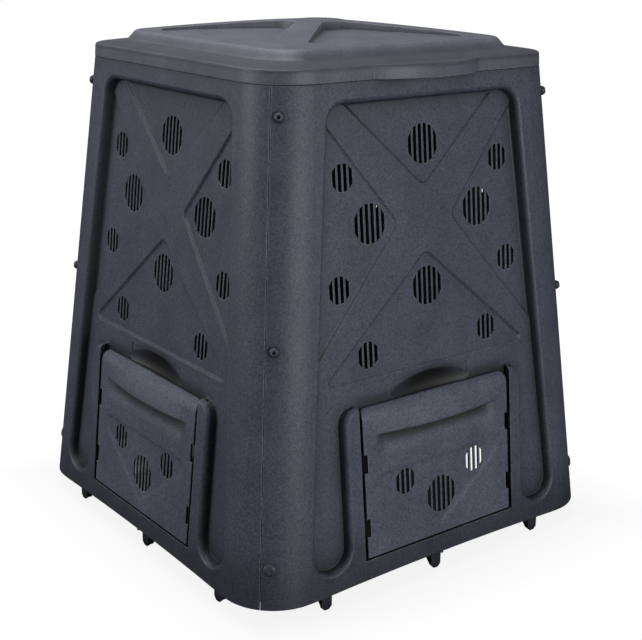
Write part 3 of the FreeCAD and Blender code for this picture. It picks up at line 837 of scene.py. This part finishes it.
    def solid(self) -> bpy.types.Mesh:
        """Plate and flanges joined, with slots and notches cut out.

        Returns:
            The finished mesh, in the flat layout.
        """
        helpers = []
        for mesh in (self.plate(), self.flanges(), self.cutters()):
            helper = bpy.data.objects.new(mesh.name, mesh)
            bpy.context.scene.collection.objects.link(helper)
            helpers.append(helper)
        door, flanges, cutters = helpers
        for operand, kind in ((flanges, "UNION"), (cutters, "DIFFERENCE")):
            step = door.modifiers.new(kind.lower(), "BOOLEAN")
            step.object, step.operation, step.solver = operand, kind, "EXACT"
        graph = bpy.context.evaluated_depsgraph_get()
        mesh = bpy.data.meshes.new_from_object(door.evaluated_get(graph))
        for helper in helpers:
            bpy.data.objects.remove(helper, do_unlink=True)
        return mesh

    def make(self, material: bpy.types.Material) -> list[bpy.types.Object]:
        """Builds the four doors, which stand for the CAD doors.

        Args:
            material: The doors' finish.

        Returns:
            The four pieces.
        """
        flat = self.solid()
        points = np.empty(len(flat.vertices) * 3)
        flat.vertices.foreach_get("co", points)
        pieces = []
        for quarter, side in enumerate(("front", "right", "back", "left")):
            mesh = flat.copy()
            mesh.name = "hatch_" + side
            placed = self.plane.place(points.reshape(-1, 3), quarter)
            mesh.vertices.foreach_set("co", placed.ravel())
            mesh.update()
            mesh.shade_smooth()
            mesh.set_sharp_from_angle(angle=math.radians(self.sharp_degrees))
            mesh.materials.clear()
            mesh.materials.append(material)
            piece = bpy.data.objects.new("hatch_" + side, mesh)
            bpy.context.scene.collection.objects.link(piece)
            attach(piece, "door_" + side)
            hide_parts("door_" + side)
            pieces.append(piece)
            log.info("hatch_%s: %d vertices, %s", side, len(mesh.vertices), material.name)
        return pieces


@dataclass(frozen=True)
class CadPieces:
    """CAD nodes that keep their own meshes and share one finish."""

    prefix: str

    def dress(self, material: bpy.types.Material) -> None:
        """Gives the finish to each node whose name starts with the prefix.

        Args:
            material: The pieces' finish.
        """
        for name in sorted(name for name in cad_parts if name.startswith(self.prefix)):
            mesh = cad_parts[name].data
            mesh.materials.clear()
            mesh.materials.append(material)
            log.info("%s: %s", name, material.name)


@dataclass(frozen=True)
class Viewpoint:
    """The camera, at the photograph's angle, in degrees and metres."""

    azimuth: float = -37.36
    elevation: float = 17.60
    roll: float = 0.59
    place: tuple[float, float, float] = (-1.17904, -1.57149, 0.93966)
    focal_px: float = 1236.3
    sensor_mm: float = 36.0

    def make(self) -> bpy.types.Object:
        """Builds the camera and makes it the scene's own.

        The camera looks along minus back, where back is (sin a cos e, -cos a cos e, sin e);
        its right side is (cos a, sin a, 0), and both are rolled round back.

        Returns:
            The camera.
        """
        a, e, r = (math.radians(v) for v in (self.azimuth, self.elevation, self.roll))
        back = Vector((math.sin(a) * math.cos(e), -math.cos(a) * math.cos(e), math.sin(e)))
        right = Vector((math.cos(a), math.sin(a), 0.0))
        up = back.cross(right)
        across = right * math.cos(r) + up * math.sin(r)
        upward = up * math.cos(r) - right * math.sin(r)
        data = bpy.data.cameras.new("camera")
        data.sensor_width = self.sensor_mm
        data.lens = self.focal_px * self.sensor_mm / IMAGE_WIDTH
        data.clip_start, data.clip_end = 0.05, 50.0
        camera = bpy.data.objects.new("camera", data)
        turn = Matrix((across, upward, back)).transposed().to_4x4()
        camera.matrix_world = Matrix.Translation(self.place) @ turn
        bpy.context.scene.collection.objects.link(camera)
        bpy.context.scene.camera = camera
        return camera


@dataclass(frozen=True)
class Lamp:
    """A square softbox, in metres and watts."""

    name: str
    place: tuple[float, float, float]
    aim: tuple[float, float, float]
    size: float
    power: float

    def make(self) -> bpy.types.Object:
        """Builds the lamp, turned towards its aim.

        Returns:
            The lamp.
        """
        data = bpy.data.lights.new(self.name, "AREA")
        data.shape = "SQUARE"
        data.size = self.size
        data.energy = self.power
        lamp = bpy.data.objects.new(self.name, data)
        lamp.location = self.place
        towards = Vector(self.aim) - Vector(self.place)
        lamp.rotation_euler = towards.to_track_quat("-Z", "Y").to_euler()
        bpy.context.scene.collection.objects.link(lamp)
        return lamp


def seen_by_camera(tree: bpy.types.NodeTree) -> bpy.types.Node:
    """Tells the camera's rays, also through clear pieces, from light that falls on the object.

    Args:
        tree: The node tree that gets the nodes.

    Returns:
        A node whose value is 1 for the camera's rays and 0 for others.
    """
    paths = add_node(tree, "LightPath")
    camera, through = paths.outputs["Is Camera Ray"], paths.outputs["Is Transmission Ray"]
    return add_node(tree, "Math", LARGER, i0=camera, i1=through)


@dataclass
class Studio:
    """Pale floor, soft lamps and an even surround, in metres."""

    # Matte paper: its own colour is dark, so that little light comes back up under the object, and
    # the camera sees it lifted to near white at the object and to white further out.
    floor_half: float = 12.0
    floor_colour: str = "#48484a"
    floor_lift: float = 0.87
    paper_start: float = 0.30
    paper_end: float = 0.55

    # The ground under the open bottom stays dark, as the dark inside asks for.
    covered_half: float = 0.262
    covered_edge: float = 0.02
    covered_glow: float = 0.005

    # A soft pool of shade behind the object, which the vents look through to.
    pool_half: float = 0.16
    pool_middle: float = 0.33
    pool_deep: float = 0.085
    pool_fade: float = 0.10
    pool_glow: float = 0.03

    surround: float = 0.17

    # Light on the left wall, on the front wall from two heights, on the lid from over and behind
    # it, and on the far walls for the views from behind.
    lamps: tuple[Lamp, ...] = (
        Lamp("left_softbox", (-3.2, 1.3, 1.5), (0.0, 0.0, 0.4), 1.5, 70.0),
        Lamp("front_softbox", (0.9, -3.2, 1.2), (0.0, 0.0, 0.4), 1.5, 29.0),
        Lamp("low_softbox", (-0.2, -2.6, 0.45), (0.0, 0.0, 0.3), 0.9, 26.0),
        Lamp("over_softbox", (-0.2, -0.1, 2.2), (0.0, 0.0, 0.5), 0.8, 19.0),
        Lamp("back_softbox", (-0.6, 1.2, 2.4), (0.0, 0.0, 0.6), 1.0, 14.0),
        Lamp("rear_softbox", (1.9, 2.4, 0.40), (0.0, 0.0, 0.36), 0.65, 60.0),
    )

    def shaded(self, tree: bpy.types.NodeTree) -> bpy.types.Node:
        """Share of the floor's lift that each place gets.

        It is the product of three: covered_glow rising to 1 at the edge of the covered square,
        pool_glow rising to 1 with the distance from the pool's rectangle, and floor_lift rising
        to 1 from paper_start to paper_end.

        Args:
            tree: The floor's node tree.

        Returns:
            A node whose value is the share.
        """
        place = add_node(tree, "SeparateXYZ", Vector=add_node(tree, "TexCoord").outputs["Object"])
        along, across = (add_node(tree, "Math", UNSIGNED, i0=place.outputs[key]) for key in "XY")
        reach = add_node(tree, "Math", LARGER, i0=along, i1=across)
        covered = add_node(
            tree, "MapRange", Value=reach, To_Min=self.covered_glow, To_Max=1.0,
            From_Min=self.covered_half - self.covered_edge, From_Max=self.covered_half,
        )
        beyond = add_node(tree, "Math", LESS, i0=place.outputs["Y"], i1=self.pool_middle)
        beyond = add_node(tree, "Math", UNSIGNED, i0=beyond)
        outside = []
        for distance, half in ((along, self.pool_half), (beyond, self.pool_deep)):
            past = add_node(tree, "Math", LESS, i0=distance, i1=half)
            outside.append(add_node(tree, "Math", LARGER, i0=past, i1=0.0))
        away = add_node(tree, "CombineXYZ", X=outside[0], Y=outside[1])
        away = add_node(tree, "VectorMath", LENGTH, i0=away)
        pool = add_node(
            tree, "MapRange", SOFT_STEP, Value=away.outputs["Value"],
            From_Min=0.0, From_Max=self.pool_fade, To_Min=self.pool_glow, To_Max=1.0,
        )
        far = add_node(
            tree, "MapRange", Value=reach, To_Min=self.floor_lift, To_Max=1.0,
            From_Min=self.paper_start, From_Max=self.paper_end,
        )
        both = add_node(tree, "Math", TIMES, i0=covered, i1=pool)
        return add_node(tree, "Math", TIMES, i0=both, i1=far)

    def floor(self) -> bpy.types.Object:
        """Builds the floor, whose own colour is lifted to white where the camera sees it.

        Returns:
            The floor.
        """
        half = self.floor_half
        mesh = bpy.data.meshes.new("floor")
        mesh.from_pydata(
            [(-half, -half, 0), (half, -half, 0), (half, half, 0), (-half, half, 0)], [], [(0, 1, 2, 3)]
        )
        floor = bpy.data.objects.new("floor", mesh)
        bpy.context.scene.collection.objects.link(floor)
        material = bpy.data.materials.new("floor_paper")
        material.use_nodes = True
        tree = material.node_tree
        tree.nodes.clear()
        paper = add_node(tree, "BsdfDiffuse", Color=linear(self.floor_colour))
        level = add_node(tree, "Math", TIMES, i0=seen_by_camera(tree), i1=self.shaded(tree))
        glow = add_node(tree, "Emission", Strength=level)
        both = add_node(tree, "AddShader", i0=paper, i1=glow)
        add_node(tree, "OutputMaterial", Surface=both)
        mesh.materials.append(material)
        return floor

    def world(self) -> None:
        """Builds the even surround, which looks white to the camera."""
        world = bpy.data.worlds.new("surround")
        bpy.context.scene.world = world
        world.use_nodes = True
        tree = world.node_tree
        tree.nodes.clear()
        level = add_node(
            tree, "MapRange", Value=seen_by_camera(tree),
            From_Min=0.0, From_Max=1.0, To_Min=self.surround, To_Max=1.0,
        )
        sky = add_node(tree, "Background", Color=(1.0, 1.0, 1.0, 1.0), Strength=level)
        add_node(tree, "OutputWorld", Surface=sky)

    def make(self) -> None:
        """Builds the whole studio."""
        self.floor()
        self.world()
        for lamp in self.lamps:
            lamp.make()
        log.info("studio: %d lamps", len(self.lamps))


def main() -> None:
    """Builds the scene."""
    logging.basicConfig(level=logging.INFO, format="%(name)s: %(message)s")
    bpy.context.scene.view_settings.view_transform = "Standard"
    Viewpoint().make()
    Studio().make()

    # Moulded polypropylene, all of it: the thick walls are the dullest, with painted shade over the
    # finger scoop and along the hatches' tops, and darker towards the ground, which gives the eye their
    # depth.
    walls = MouldedPlastic(
        "moulded_wall_plastic", colour="#3d404d", worn_and_highlight_colour="#b4b6c0", roughness=0.52,
        painted_light=PaintedLight.WALL_SHADE,
    ).make()
    # The doors are moulded thinner and a shade lighter, with a painted shadow under the pull lip,
    # which sets the lip off as a line of light over a dark hollow.
    doors = MouldedPlastic(
        "moulded_hatch_plastic", colour="#474a57", worn_and_highlight_colour="#b4b6c0", roughness=0.50,
        painted_light=PaintedLight.LIP_SHADOW,
    ).make()
    # The lid has a finer skin with fewer specks, and painted light by height: a lighter rim, painted
    # shade on the step and the palest crown, so that its low crown reads as pale and satin against
    # the dark walls.
    lid = MouldedPlastic(
        "moulded_lid_plastic", colour="#464750", worn_and_highlight_colour="#b4b6c0", roughness=0.48,
        painted_light=PaintedLight.LID_LIGHT, gloss=0.36, speck_depth=0.22,
    ).make()
    CadPieces("panel_").dress(walls)
    HatchDoor().make(doors)
    # The pins are small mouldings from another mould, darker and a little slicker, so that their
    # heads stand out as dots on the columns.
    pins = MouldedPlastic(
        "moulded_pin_plastic", colour="#333642", worn_and_highlight_colour="#a3a5b0", roughness=0.45,
        painted_light=PaintedLight.NONE,
    ).make()
    CadPieces("corner_pin_").dress(pins)
    CadPieces("lid").dress(lid)


if __name__ == "__main__":
    main()
